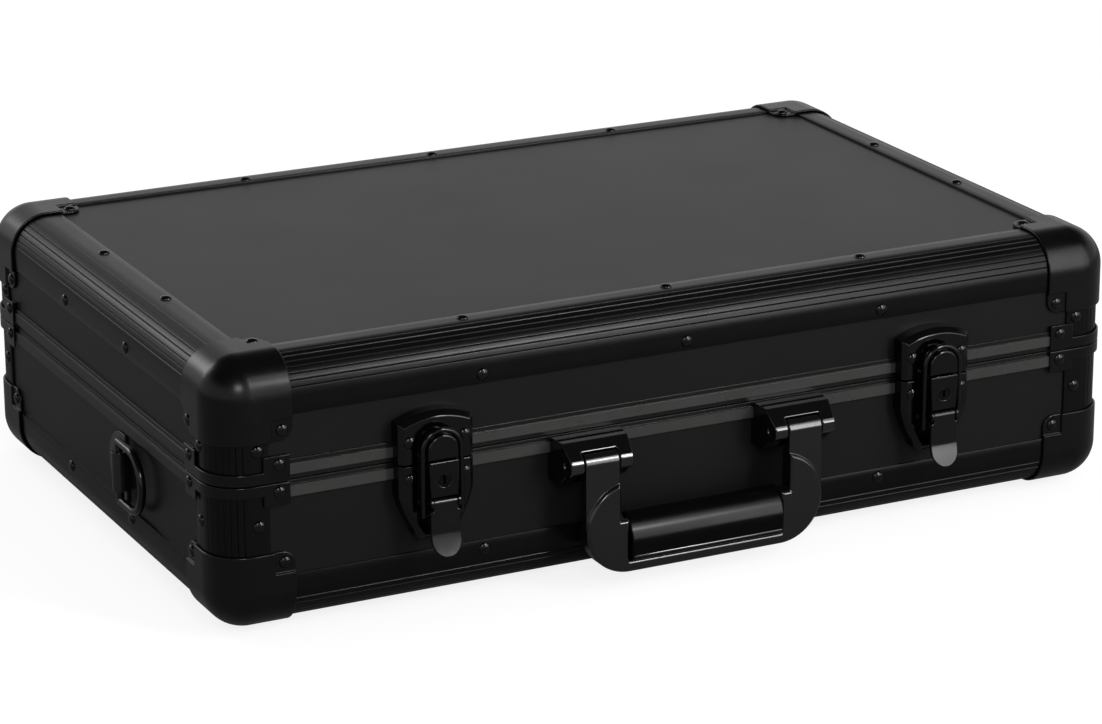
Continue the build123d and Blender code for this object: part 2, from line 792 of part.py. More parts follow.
# A handle mount is a side outline run across its width, wider at the wall than at the pivot
def handle_mount():
    y = lambda out: -half_depth - out
    z = lambda drop: z_part - drop
    pivot = (y(handle_pivot_out), z(handle_pivot_drop))
    r = handle_knuckle_radius
    nose = math.radians(50)
    shoulder = (pivot[0] - r * math.cos(nose), pivot[1] + r * math.sin(nose))
    outline = make_face([
        Line((y(panel_out), z(mount_foot_drop)), (y(panel_out), z(mount_top_drop))),
        Line((y(panel_out), z(mount_top_drop)), (y(mount_crease_out), z(mount_crease_drop))),
        Line((y(mount_crease_out), z(mount_crease_drop)), shoulder),
        ThreePointArc(shoulder, (pivot[0] - r, pivot[1]), (pivot[0], pivot[1] - r)),
        Line((pivot[0], pivot[1] - r), (y(mount_under_out), z(mount_foot_drop))),
        Line((y(mount_under_out), z(mount_foot_drop)), (y(panel_out), z(mount_foot_drop))),
    ])
    half = mount_root_width / 2
    plane = Plane(origin=(-half, 0, 0), x_dir=(0, 1, 0), z_dir=(1, 0, 0))
    body = one_solid(extrude(plane * outline, amount=mount_root_width))
    tip = handle_mount_width / 2
    far = y(handle_arm_front_out)
    plan = make_face(Polyline((-half, y(panel_out)), (half, y(panel_out)), (tip, far), (-tip, far), close=True))
    body &= Pos(0, 0, z(mount_foot_drop + 1)) * extrude(plan, amount=mount_foot_drop + 1, dir=(0, 0, 1))
    slot = handle_arm_width / 2 + handle_side_gap
    swing = r + handle_swing_gap
    body -= cross_x(0, swing, 2 * slot, *pivot)
    body -= block(-slot, slot, far - swing, pivot[0] + swing, z(mount_foot_drop + swing), pivot[1])
    body -= cross_x(0, handle_pin_radius + handle_fit, mount_root_width, *pivot)
    body -= rail_notch(False)
    return one_solid(body)


def handle_pin():
    y, z = -half_depth - handle_pivot_out, z_part - handle_pivot_drop
    return cross_x(0, handle_pin_radius, handle_mount_width, y, z)


def handle_rivets():
    rivets = Rivets()
    z = z_part - mount_rivet_drop
    for side in sides:
        for step in sides:
            x = side * handle_mount_x + step * mount_rivet_spacing / 2
            rivets.add((x, -half_depth + panel_in, z), (0, 1, 0), panel_in + mount_rivet_grip)
    return rivets


def handle_frame():
    y = lambda out: -half_depth - out
    z = lambda drop: z_part - drop
    arm_x = handle_mount_x
    half_arm = handle_arm_width / 2
    arm_back = handle_arm_front_out - handle_arm_thickness
    pivot_y, pivot_z = y(handle_pivot_out), z(handle_pivot_drop)
    corner_x = arm_x + half_arm - frame_corner_radius
    inner_x = arm_x - half_arm
    corner = z(frame_corner_drop)
    outline = rect(-corner_x, corner_x, corner - frame_corner_radius, corner)
    for side in sides:
        outline += Pos(side * corner_x, corner) * Circle(frame_corner_radius)
    outline -= rect(-inner_x, inner_x, z(hand_opening_drop), z(0))
    half_grip = grip_width / 2 + grip_fit
    outline -= rect(-half_grip, half_grip, z(grip_bottom_drop) - grip_fit, z(hand_opening_drop) + 1)
    frame = front_plate(outline, frame_back_out, frame_front_out)
    frame = chamfer(frame.faces().sort_by(Axis.Y)[0].edges(), frame_edge)
    for side in sides:
        x0, x1 = side * arm_x - half_arm, side * arm_x + half_arm
        frame += block(x0, x1, y(handle_arm_front_out), y(arm_back), z(frame_corner_drop), pivot_z)
        frame += cross_x(side * arm_x, handle_knuckle_radius, handle_arm_width, pivot_y, pivot_z)
        frame -= cross_x(side * arm_x, handle_pin_radius + handle_fit, handle_arm_width + 2, pivot_y, pivot_z)
    return one_solid(frame)


# The grip is a bar with a round brow, a nearly flat front and a bowed back
def handle_grip():
    y = lambda out: -half_depth - out
    z = lambda drop: z_part - drop
    middle = (grip_top_drop + grip_bottom_drop) / 2
    deep = (grip_brow_out + grip_back_out) / 2
    crown = (y(deep - grip_edge), z(grip_top_drop))
    belly = (y(grip_front_out), z(grip_belly_drop))
    lip = (y(grip_lip_out), z(grip_bottom_drop - grip_edge))
    heel = (y(grip_lip_out - grip_edge), z(grip_bottom_drop))
    foot = (y(deep), z(grip_bottom_drop))
    outline = make_face([
        ThreePointArc(crown, (y(grip_brow_out), z(grip_brow_drop)), belly),
        Line(belly, lip),
        Line(lip, heel),
        Line(heel, foot),
        ThreePointArc(foot, (y(grip_back_out), z(middle)), crown),
    ])
    half = grip_width / 2
    plane = Plane(origin=(-half, 0, 0), x_dir=(0, 1, 0), z_dir=(1, 0, 0))
    return one_solid(extrude(plane * outline, amount=grip_width))


# The left strap plate and ring, drawn in place and mirrored to the right end
def strap_plate():
    x_face = -half_length
    z_mid = strap_z
    half = strap_plate_width / 2
    straight = strap_plate_length - half
    outline = rect(0, straight, -half, half) + Pos(straight, 0) * Circle(half)
    outline &= rect(0, strap_plate_length, -half, half)
    plane = Plane(origin=(x_face - panel_out, ring_bar_y, z_mid), x_dir=(0, 1, 0), z_dir=(-1, 0, 0))
    plate = extrude(plane * outline, amount=strap_plate_sheet)
    bar_x = x_face - ring_bar_out
    knuckle = Pos(bar_x, ring_bar_y, z_mid) * Cylinder(ring_knuckle_radius, ring_knuckle_length)
    web_half = ring_knuckle_length / 2
    web = block(bar_x, x_face - panel_out, ring_bar_y, ring_bar_y + ring_knuckle_radius, z_mid - web_half, z_mid + web_half)
    plate = plate + knuckle + web
    plate -= Pos(bar_x, ring_bar_y, z_mid) * Cylinder(ring_wire_radius + ring_fit, ring_knuckle_length + 2)
    return one_solid(plate)


def strap_ring():
    shape = wire_u(ring_width, ring_length - ring_width / 2, ring_wire_radius)
    shape += cross_x(0, ring_wire_radius, ring_width, 0, 0)
    origin = (-half_length - ring_bar_out, ring_bar_y, strap_z)
    return one_solid(Location(Plane(origin, x_dir=(0, 0, 1), z_dir=(0, -1, 0))) * shape)


def strap_rivets():
    rivets = Rivets()
    out = strap_plate_sheet + panel_out
    for side in sides:
        place = (side * (half_length + out), ring_bar_y + strap_rivet_inset, strap_z)
        rivets.add(place, (side, 0, 0), out + panel_in)
    return rivets


# A hinge half about x = 0 at the back: the base half has the two outer knuckles
def hinge_leaf(is_lid):
    axis_y = half_depth + hinge_axis_out
    y0 = half_depth + hinge_leaf_out
    y1 = y0 + hinge_leaf_thickness
    up = 1 if is_lid else -1
    half = hinge_width / 2
    clear = hinge_knuckle_radius + hinge_leaf_gap
    z0, z1 = sorted((z_part + up * clear, z_part + up * hinge_leaf_height))
    leaf = block(-half, half, y0, y1, z0, z1)
    far_edge = leaf.edges().filter_by(Axis.Y).sort_by(Axis.Z)
    leaf = fillet(far_edge[-2:] if is_lid else far_edge[:2], 5)
    mid = hinge_middle_knuckle / 2
    if is_lid:
        spans = [(-mid + hinge_knuckle_gap / 2, mid - hinge_knuckle_gap / 2)]
    else:
        spans = [(-half, -mid - hinge_knuckle_gap / 2), (mid + hinge_knuckle_gap / 2, half)]
    w0, w1 = sorted((z_part, z_part + up * (clear + 1)))
    for x0, x1 in spans:
        leaf += block(x0, x1, y0, y1, w0, w1)
        leaf += cross_x((x0 + x1) / 2, hinge_knuckle_radius, x1 - x0, axis_y, z_part)
    leaf -= cross_x(0, hinge_pin_radius + hinge_fit, hinge_width + 2, axis_y, z_part)
    return one_solid(leaf)


def hinge_pin():
    return cross_x(0, hinge_pin_radius, hinge_width, half_depth + hinge_axis_out, z_part)


def hinge_rivets(is_lid):
    rivets = Rivets()
    out = hinge_leaf_out + hinge_leaf_thickness
    up = 1 if is_lid else -1
    for side in sides:
        for step in sides:
            x = side * hinge_x + step * hinge_rivet_spacing / 2
            place = (x, half_depth + out, z_part + up * hinge_rivet_height)
            rivets.add(place, (0, 1, 0), out + panel_in)
    return rivets


def at_both(shape, x):
    return [Pos(side * x, 0, 0) * shape for side in sides]


def build_half(is_lid, parts):
    name = "lid" if is_lid else "base"
    rivets = half_rivets(is_lid)
    extra = [latch_rivets(is_lid), hinge_rivets(is_lid)]
    if not is_lid:
        extra += [handle_rivets(), strap_rivets()]
    for more in extra:
        rivets.places += more.places
    drill = rivets.drill
    panel = flat_panel(is_lid)
    if not is_lid:
        panel = foot_holes(panel)
    parts["lid_top_panel" if is_lid else "base_bottom_panel"] = drill(panel)
    for kind, made in (("wall", wall_panels(is_lid)), ("edge", edge_profiles(is_lid)), ("rail", rails(is_lid))):
        made = {side: drill(solid) for side, solid in made.items()}
        parts[f"{name}_front_{kind}"] = made["front"]
        parts[f"{name}_back_{kind}"] = made["back"]
        parts[f"{name}_end_{kind}s"] = [made["left"], made["right"]]
    parts[f"{name}_corner_posts"] = [drill(post) for post in corner_posts(is_lid)]
    parts[f"{name}_corner_brackets"] = [drill(piece) for piece in corner_brackets(is_lid)]
    parts[f"{name}_rivets"] = rivets.solids()
    parts[f"{name}_foam_pad"], parts[f"{name}_foam_lining"] = foam_set(is_lid)
    return drill


def build():
    parts = {}
    drill_base = build_half(False, parts)
    drill_lid = build_half(True, parts)
    for node, cap in corner_caps().items():
        parts[node] = (drill_lid if node.startswith("lid") else drill_base)(cap)
    parts["rubber_feet"], parts["foot_screws"] = feet()
    parts["latch_plates"] = [drill_base(piece) for piece in at_both(latch_plate(), latch_x)]
    parts["catch_plates"] = [drill_lid(piece) for piece in at_both(catch_plate(), latch_x)]
    parts["latch_pins"] = at_both(latch_pin(), latch_x)
    for node, shape in (("latch_lever", latch_lever()), ("latch_loop", latch_loop()), ("lock_barrel", lock_barrel())):
        for side, piece in zip(sides, at_both(shape, latch_x)):
            parts[f"{node}_{side_names[side]}"] = piece
    parts["handle_mounts"] = [drill_base(piece) for piece in at_both(handle_mount(), handle_mount_x)]
    parts["handle_pins"] = at_both(handle_pin(), handle_mount_x)
    parts["handle_frame"] = handle_frame()
    parts["handle_grip"] = handle_grip()
    plate = strap_plate()
    parts["strap_plates"] = [drill_base(plate), drill_base(plate.mirror(Plane.YZ))]
    ring = strap_ring()
    parts["strap_ring_left"], parts["strap_ring_right"] = ring, ring.mirror(Plane.YZ)
    parts["hinge_base_leaves"] = [drill_base(piece) for piece in at_both(hinge_leaf(False), hinge_x)]
    parts["hinge_lid_leaves"] = [drill_lid(piece) for piece in at_both(hinge_leaf(True), hinge_x)]
    parts["hinge_pins"] = at_both(hinge_pin(), hinge_x)
    return parts


def write(parts):
    os.makedirs("parts", exist_ok=True)
    for node, shape in parts.items():
        shapes = shape if isinstance(shape, list) else [shape]
        placed = [Pos(0, body_shift_y, 0) * piece for piece in shapes]
        whole = placed[0] if len(placed) == 1 else Compound(children=placed)
        export_step(whole, f"parts/{node}.step")
        print(node, len(shapes))


if __name__ == "__main__":
    write(build())
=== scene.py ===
import json
import math

import bmesh
import bpy
from mathutils import Matrix, Vector, noise
from mathutils.bvhtree import BVHTree

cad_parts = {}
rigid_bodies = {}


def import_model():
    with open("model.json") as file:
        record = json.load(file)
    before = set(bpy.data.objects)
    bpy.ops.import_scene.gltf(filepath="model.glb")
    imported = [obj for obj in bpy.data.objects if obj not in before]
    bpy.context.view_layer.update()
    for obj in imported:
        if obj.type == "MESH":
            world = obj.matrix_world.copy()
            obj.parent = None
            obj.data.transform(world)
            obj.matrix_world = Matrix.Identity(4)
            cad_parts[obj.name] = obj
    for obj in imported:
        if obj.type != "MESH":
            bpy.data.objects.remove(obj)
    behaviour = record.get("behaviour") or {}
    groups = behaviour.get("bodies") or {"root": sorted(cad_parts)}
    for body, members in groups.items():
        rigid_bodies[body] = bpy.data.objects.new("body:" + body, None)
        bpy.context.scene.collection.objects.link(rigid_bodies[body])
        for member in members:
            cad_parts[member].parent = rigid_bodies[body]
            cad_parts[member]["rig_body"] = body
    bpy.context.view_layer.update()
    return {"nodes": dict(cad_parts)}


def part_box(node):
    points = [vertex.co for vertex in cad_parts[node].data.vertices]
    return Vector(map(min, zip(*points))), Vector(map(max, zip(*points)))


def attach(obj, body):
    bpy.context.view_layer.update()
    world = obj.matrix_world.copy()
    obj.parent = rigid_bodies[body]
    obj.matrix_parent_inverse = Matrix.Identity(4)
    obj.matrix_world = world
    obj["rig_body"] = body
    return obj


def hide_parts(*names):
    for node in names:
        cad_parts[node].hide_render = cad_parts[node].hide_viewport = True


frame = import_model()
nodes = frame["nodes"]
scene = bpy.context.scene
# the scene is in metres; sizes in the dictionaries are in mm and angles in degrees,
# apart from the camera's and the studio's, which are in metres
mm = 0.001
nodeWeld = 0.002 * mm  # points of a node closer than this are one

# the outer faces of the case, read from the frame
caseLeft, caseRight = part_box("lid_end_edges")[0].x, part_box("lid_end_edges")[1].x
caseFront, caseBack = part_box("lid_front_edge")[0].y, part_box("lid_back_edge")[1].y
caseBottom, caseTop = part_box("base_front_edge")[0].z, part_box("lid_front_edge")[1].z
middleY = (caseFront + caseBack) / 2


def linear(grey):
    # an 8-bit shade, or three of them, as the colour that the shader wants
    values = grey if isinstance(grey, (tuple, list)) else (grey, grey, grey)
    out = []
    for value in values:
        c = value / 255
        out.append(c / 12.92 if c <= 0.04045 else ((c + 0.055) / 1.055) ** 2.4)
    return (*out, 1.0)


def addNode(tree, kind, **settings):
    made = tree.nodes.new(kind)
    for key, value in settings.items():
        setattr(made, key, value)
    return made


def numberNode(tree, operation, *values):
    # each value is a number or the socket that it comes from
    made = addNode(tree, "ShaderNodeMath", operation=operation)
    for index, value in enumerate(values):
        if isinstance(value, (int, float)):
            made.inputs[index].default_value = value
        else:
            tree.links.new(value, made.inputs[index])
    return made.outputs[0]


# camera
cameraPlace = {
    "position": (-0.93920, -1.90758, 0.76894),  # from the middle of the case and the ground
    "azimuth": 26.335,
    "elevation": 18.399,
    "roll": -0.261,
    "focalPixels": 3980.8,
    "imageWidth": 1102,
    "sensorWidth": 36,
    "clip": (0.05, 60),
}


def placeCamera(place):
    camera = bpy.data.cameras.new("camera")
    holder = bpy.data.objects.new("camera", camera)
    scene.collection.objects.link(holder)
    camera.sensor_width = place["sensorWidth"]
    camera.lens = place["sensorWidth"] * place["focalPixels"] / place["imageWidth"]
    camera.clip_start, camera.clip_end = place["clip"]
    az, el, roll = (math.radians(place[k]) for k in ("azimuth", "elevation", "roll"))
    level = math.cos(el)
    ahead = Vector((math.sin(az) * level, math.cos(az) * level, -math.sin(el)))
    right = ahead.cross(Vector((0, 0, 1))).normalized()
    up = right.cross(ahead)
    turnedRight = math.cos(roll) * right + math.sin(roll) * up
    turnedUp = -math.sin(roll) * right + math.cos(roll) * up
    turn = Matrix((turnedRight, turnedUp, -ahead)).transposed()
    x, y, z = place["position"]
    holder.matrix_world = Matrix.Translation((x, y + middleY, z)) @ turn.to_4x4()
    scene.camera = holder


placeCamera(cameraPlace)

# light, floor and background
studio = {
    "fill": 0.44,
    "seenSky": 1.0,  # what the camera sees behind the floor
    "lowSky": 0.72,  # what gloss sees near the horizon
    "highSky": 0.05,  # and overhead, where the studio is dark
    "fade": (0.36, 0.64),  # sine of the elevation where it starts to darken, and where it is dark
    "floorShade": 0.24,
    "floorLift": 0.84,  # what it glows for the camera and through glass, so that it is white
    "glossLift": 0.03,  # and in gloss
    "floorReach": 9.0,  # m from the middle to each edge
    "lamps": [
        # name, direction from the case, distance, width, height, strength,
        # seen in gloss, lights dull paint
        ("overhead", (0.05, 0.30, 1.0), 2.4, 1.8, 1.2, 0.8, False, True),
        ("frontRight", (0.42, -0.83, 0.42), 2.1, 0.32, 1.90, 7.0, True, True),
        ("farRight", (0.64, -0.77, 0.38), 2.2, 1.30, 1.80, 2.2, True, True),
        ("frontLeft", (-0.30, -0.82, 0.48), 2.1, 0.42, 0.42, 15.0, True, True),
        ("spark", (0.36, -0.84, 0.52), 2.1, 0.26, 0.26, 40.0, True, False),
        ("behind", (-0.55, 0.80, 0.50), 2.2, 0.80, 0.80, 4.0, True, True),
    ],
}


def whiteSky(tree):
    made = addNode(tree, "ShaderNodeBackground")
    made.inputs["Color"].default_value = (1, 1, 1, 1)
    return made


def lightScene(settings):
    for lampRow in settings["lamps"]:
        name, towards, distance, width, height, radiance, inGloss, inPaint = lampRow
        lamp = bpy.data.lights.new(name, "AREA")
        lamp.shape, lamp.size, lamp.size_y = "RECTANGLE", width, height
        lamp.energy = radiance * width * height * math.pi
        holder = bpy.data.objects.new(name, lamp)
        scene.collection.objects.link(holder)
        holder.visible_glossy, holder.visible_diffuse = inGloss, inPaint
        out = Vector(towards).normalized()
        holder.location = Vector((0, middleY, caseTop / 2)) + out * distance
        holder.rotation_mode = "QUATERNION"
        holder.rotation_quaternion = (-out).to_track_quat("-Z", "Y")

    world = bpy.data.worlds.new("studio")
    world.use_nodes = True
    scene.world = world
    tree = world.node_tree
    tree.nodes.clear()
    fill, seen = whiteSky(tree), whiteSky(tree)
    fill.inputs["Strength"].default_value = settings["fill"]
    towards = addNode(tree, "ShaderNodeTexCoord")
    split = addNode(tree, "ShaderNodeSeparateXYZ")
    sky = addNode(tree, "ShaderNodeMapRange", interpolation_type="SMOOTHSTEP")
    start, dark = settings["fade"]
    sky.inputs["From Min"].default_value, sky.inputs["From Max"].default_value = start, dark
    sky.inputs["To Min"].default_value = settings["lowSky"]
    sky.inputs["To Max"].default_value = settings["highSky"]
    tree.links.new(towards.outputs["Generated"], split.inputs[0])
    tree.links.new(split.outputs["Z"], sky.inputs["Value"])
    path = addNode(tree, "ShaderNodeLightPath")
    pick = addNode(tree, "ShaderNodeMix", data_type="FLOAT")
    # of the mix node for numbers, 0 is the factor and 2 and 3 are what it mixes
    tree.links.new(path.outputs["Is Camera Ray"], pick.inputs[0])
    tree.links.new(sky.outputs["Result"], pick.inputs[2])
    pick.inputs[3].default_value = settings["seenSky"]
    tree.links.new(pick.outputs[0], seen.inputs["Strength"])
    mix = addNode(tree, "ShaderNodeMixShader")
    output = addNode(tree, "ShaderNodeOutputWorld")
    tree.links.new(directRay(tree), mix.inputs[0])
    tree.links.new(fill.outputs[0], mix.inputs[1])
    tree.links.new(seen.outputs[0], mix.inputs[2])
    tree.links.new(mix.outputs[0], output.inputs["Surface"])


def directRay(tree):
    # 1 for what the camera, gloss and glass see
    path = addNode(tree, "ShaderNodeLightPath")
    seen = numberNode(tree, "MAXIMUM", path.outputs["Is Camera Ray"],
                      path.outputs["Is Glossy Ray"])
    return numberNode(tree, "MAXIMUM", seen, path.outputs["Is Transmission Ray"])


def makeFloor(settings):
    mat = bpy.data.materials.new("paleFloor")
    mat.use_nodes = True
    tree = mat.node_tree
    tree.nodes.clear()
    paint = addNode(tree, "ShaderNodeBsdfDiffuse")
    shade = settings["floorShade"]
    paint.inputs["Color"].default_value = (shade, shade, shade, 1)
    glow = addNode(tree, "ShaderNodeEmission")
    path = addNode(tree, "ShaderNodeLightPath")
    straight = numberNode(tree, "MAXIMUM", path.outputs["Is Camera Ray"],
                          path.outputs["Is Transmission Ray"])
    lift = numberNode(tree, "MULTIPLY", straight, settings["floorLift"])
    strength = numberNode(tree, "MULTIPLY_ADD", path.outputs["Is Glossy Ray"],
                          settings["glossLift"], lift)
    tree.links.new(strength, glow.inputs["Strength"])
    both = addNode(tree, "ShaderNodeAddShader")
    output = addNode(tree, "ShaderNodeOutputMaterial")
    tree.links.new(paint.outputs[0], both.inputs[0])
    tree.links.new(glow.outputs[0], both.inputs[1])
    tree.links.new(both.outputs[0], output.inputs["Surface"])
    reach = settings["floorReach"]
    outline = [(-reach, -reach, 0), (reach, -reach, 0), (reach, reach, 0), (-reach, reach, 0)]
    mesh = bpy.data.meshes.new("floor")
    mesh.from_pydata(outline, [], [(0, 1, 2, 3)])
    mesh.materials.append(mat)
    floor = bpy.data.objects.new("floor", mesh)
    scene.collection.objects.link(floor)


lightScene(studio)
makeFloor(studio)
print("camera, light and floor are set")

# finishes
# shade: 8-bit grey, or red, green and blue; grain: size and bump in mm;
# patch: size in mm, spread of the roughness, spread of the shade
finishes = {
    "laminate": {
        "shade": 23, "rough": 0.34, "ior": 1.22, "grain": (0.55, 0.008),
        "patch": (70, 0.015, 0.05)},
    "profileCoat": {
        "shade": 9, "rough": 0.26, "ior": 1.24, "grain": (0.4, 0.004), "patch": (40, 0.03, 0.08)},
    "railCoat": {
        "shade": 11, "rough": 0.28, "ior": 1.36, "grain": (0.4, 0.006), "patch": (30, 0.03, 0.08),
        "bandShade": (56, 57, 55)},
    # the rail coat again, with its bands painted darker: painted shade on the case's ends
    "shadedEndRailCoat": {
        "shade": 10, "rough": 0.30, "ior": 1.26, "grain": (0.4, 0.006), "patch": (30, 0.03, 0.08),
        "bandShade": (32, 34, 33)},
    "cornerPaint": {
        "shade": 4, "rough": 0.26, "ior": 1.33, "grain": (1.1, 0.004), "patch": (18, 0.03, 0.10)},
    "bracketPaint": {
        "shade": 5, "rough": 0.20, "ior": 1.34, "grain": (0.9, 0.004), "patch": (12, 0.04, 0.10)},
    "rivetPaint": {
        "shade": 3, "rough": 0.06, "ior": 1.39, "grain": (0.8, 0.002), "patch": (4, 0.03, 0.2)},
    "latchPaint": {
        "shade": 3, "rough": 0.12, "ior": 1.38, "grain": (1.2, 0.004), "patch": (10, 0.04, 0.12)},
    "leverPaint": {
        "shade": 5, "rough": 0.19, "ior": 1.42, "grain": (0.8, 0.004), "patch": (8, 0.05, 0.12)},
    "lockNickel": {
        "shade": 28, "rough": 0.34, "ior": 1.5, "metallic": 1.0, "grain": (0.25, 0.003),
        "patch": (3, 0.06, 0.2)},
    "mountGloss": {
        "shade": 2, "rough": 0.07, "ior": 1.7, "grain": (1.6, 0.003), "patch": (12, 0.02, 0.1)},
    "framePlastic": {
        "shade": 7, "rough": 0.17, "ior": 1.6, "grain": (0.35, 0.006), "patch": (20, 0.04, 0.10)},
    "gripPlastic": {
        "shade": 5, "rough": 0.19, "ior": 1.195, "grain": (0.3, 0.008), "patch": (25, 0.04, 0.10)},
    "ringSteel": {
        "shade": 6, "rough": 0.16, "ior": 1.42, "grain": (0.9, 0.003), "patch": (6, 0.04, 0.15)},
    "strapPaint": {
        "shade": 26, "rough": 0.26, "ior": 1.45, "grain": (0.9, 0.003), "patch": (6, 0.04, 0.15)},
    "footRubber": {
        "shade": 20, "rough": 0.62, "ior": 1.3, "grain": (0.5, 0.03), "patch": (8, 0.08, 0.2)},
    "openFoam": {
        "shade": 34, "rough": 0.95, "ior": 1.1, "grain": (1.1, 0.35), "patch": (25, 0.03, 0.2)},
}
surface = {
    "patchDetail": 4,
    "grainDetail": 2,
    "roughRange": (0.25, 0.75),  # the part of the patches' noise that spreads the roughness
    "toneRange": (0.3, 0.7),  # and the part that spreads the shade
    # mm up from the lid rail's lower edge, and down from the top of the base's brackets
    "lidBand": (2.7, 8.1),
    "baseBand": (8.5, 2.5),
}
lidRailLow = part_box("lid_front_rail")[0].z
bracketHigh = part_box("base_corner_brackets")[1].z
# the bare bands of the two rails, by height
railBands = [[lidRailLow + up * mm for up in surface["lidBand"]],
             [bracketHigh - down * mm for down in surface["baseBand"]]]


def noiseNode(tree, where, size, detail):
    made = addNode(tree, "ShaderNodeTexNoise")
    made.inputs["Scale"].default_value = 1 / (size * mm)
    made.inputs["Detail"].default_value = detail
    tree.links.new(where, made.inputs["Vector"])
    return made.outputs["Fac"]


def toneNode(tree, shade, spread, patch):
    # the shade, a little darker and lighter from patch to patch
    colour = linear(shade)[:3]
    made = addNode(tree, "ShaderNodeValToRGB")
    gains = (1 - spread, 1 + spread)
    for stop, position, gain in zip(made.color_ramp.elements, surface["toneRange"], gains):
        stop.position = position
        stop.color = (*(c * gain for c in colour), 1)
    tree.links.new(patch, made.inputs["Fac"])
    return made.outputs["Color"]


def bandNode(tree, where):
    # 1 at the height of a bare band, else 0
    split = addNode(tree, "ShaderNodeSeparateXYZ")
    tree.links.new(where, split.inputs[0])
    inside = 0
    for low, high in railBands:
        above = numberNode(tree, "GREATER_THAN", split.outputs["Z"], low)
        below = numberNode(tree, "LESS_THAN", split.outputs["Z"], high)
        both = numberNode(tree, "MULTIPLY", above, below)
        inside = numberNode(tree, "MAXIMUM", inside, both)
    return inside


def makeFinish(name, settings):
    mat = bpy.data.materials.new(name)
    mat.use_nodes = True
    tree = mat.node_tree
    tree.nodes.clear()
    links = tree.links
    shader = addNode(tree, "ShaderNodeBsdfPrincipled")
    output = addNode(tree, "ShaderNodeOutputMaterial")
    links.new(shader.outputs[0], output.inputs["Surface"])
    shader.inputs["IOR"].default_value = settings["ior"]
    shader.inputs["Metallic"].default_value = settings.get("metallic", 0.0)
    where = addNode(tree, "ShaderNodeTexCoord").outputs["Object"]

    patchSize, roughSpread, shadeSpread = settings["patch"]
    patch = noiseNode(tree, where, patchSize, surface["patchDetail"])
    rough = addNode(tree, "ShaderNodeMapRange")
    for label, value in zip(("From Min", "From Max"), surface["roughRange"]):
        rough.inputs[label].default_value = value
    rough.inputs["To Min"].default_value = settings["rough"] - roughSpread
    rough.inputs["To Max"].default_value = settings["rough"] + roughSpread
    links.new(patch, rough.inputs["Value"])
    links.new(rough.outputs["Result"], shader.inputs["Roughness"])

    tones = toneNode(tree, settings["shade"], shadeSpread, patch)
    if "bandShade" in settings:
        # of the mix node for colours, 6 and 7 are what it mixes and 2 comes out
        pick = addNode(tree, "ShaderNodeMix", data_type="RGBA")
        links.new(bandNode(tree, where), pick.inputs[0])
        links.new(tones, pick.inputs[6])
        links.new(toneNode(tree, settings["bandShade"], shadeSpread, patch), pick.inputs[7])
        tones = pick.outputs[2]
    links.new(tones, shader.inputs["Base Color"])

    grainSize, grainDepth = settings["grain"]
    bump = addNode(tree, "ShaderNodeBump")
    bump.inputs["Strength"].default_value = 1.0
    bump.inputs["Distance"].default_value = grainDepth * mm
    links.new(noiseNode(tree, where, grainSize, surface["grainDetail"]), bump.inputs["Height"])
    links.new(bump.outputs["Normal"], shader.inputs["Normal"])
    return mat


finish = {name: makeFinish(name, settings) for name, settings in finishes.items()}
print("finishes are made:", len(finish))


# mesh tools
def newPiece(name, mesh, material, sharp=32):
    # smooth, apart from the edges that bend by more than sharp, in degrees
    mesh.polygons.foreach_set("use_smooth", [True] * len(mesh.polygons))
    mesh.set_sharp_from_angle(angle=math.radians(sharp))
    mesh.materials.clear()
    mesh.materials.append(material)
    made = bpy.data.objects.new(name, mesh)
    scene.collection.objects.link(made)
    return made


def dress(piece, nodeNames):
    # the piece stands for these nodes and moves with the body that they belong to
    nodeNames = [nodeNames] if isinstance(nodeNames, str) else nodeNames
    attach(piece, nodes[nodeNames[0]]["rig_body"])
    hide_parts(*nodeNames)
    return piece


def camel(nodeName):
    first, *rest = nodeName.split("_")
    return first + "".join(word.capitalize() for word in rest)


def welded(nodeName):
    bm = bmesh.new()
    bm.from_mesh(nodes[nodeName].data)
    bmesh.ops.remove_doubles(bm, verts=bm.verts, dist=nodeWeld)
    return bm


def corners(points):
    low = Vector([min(point[i] for point in points) for i in range(3)])
    high = Vector([max(point[i] for point in points) for i in range(3)])
    return low, high


rounding = {
    "flat": 0.4,  # degrees between faces that are joined into one first
    "segments": 3,
    "edgeAngle": 28,  # degrees from which an edge is rounded
    "sharp": 40,
    "faceWeight": 60,
    "strayOut": 0.3,  # how far a round's point may lie outside the node's own faces,
    "strayIn": 0.6,  # and inside them, as parts of the width
}


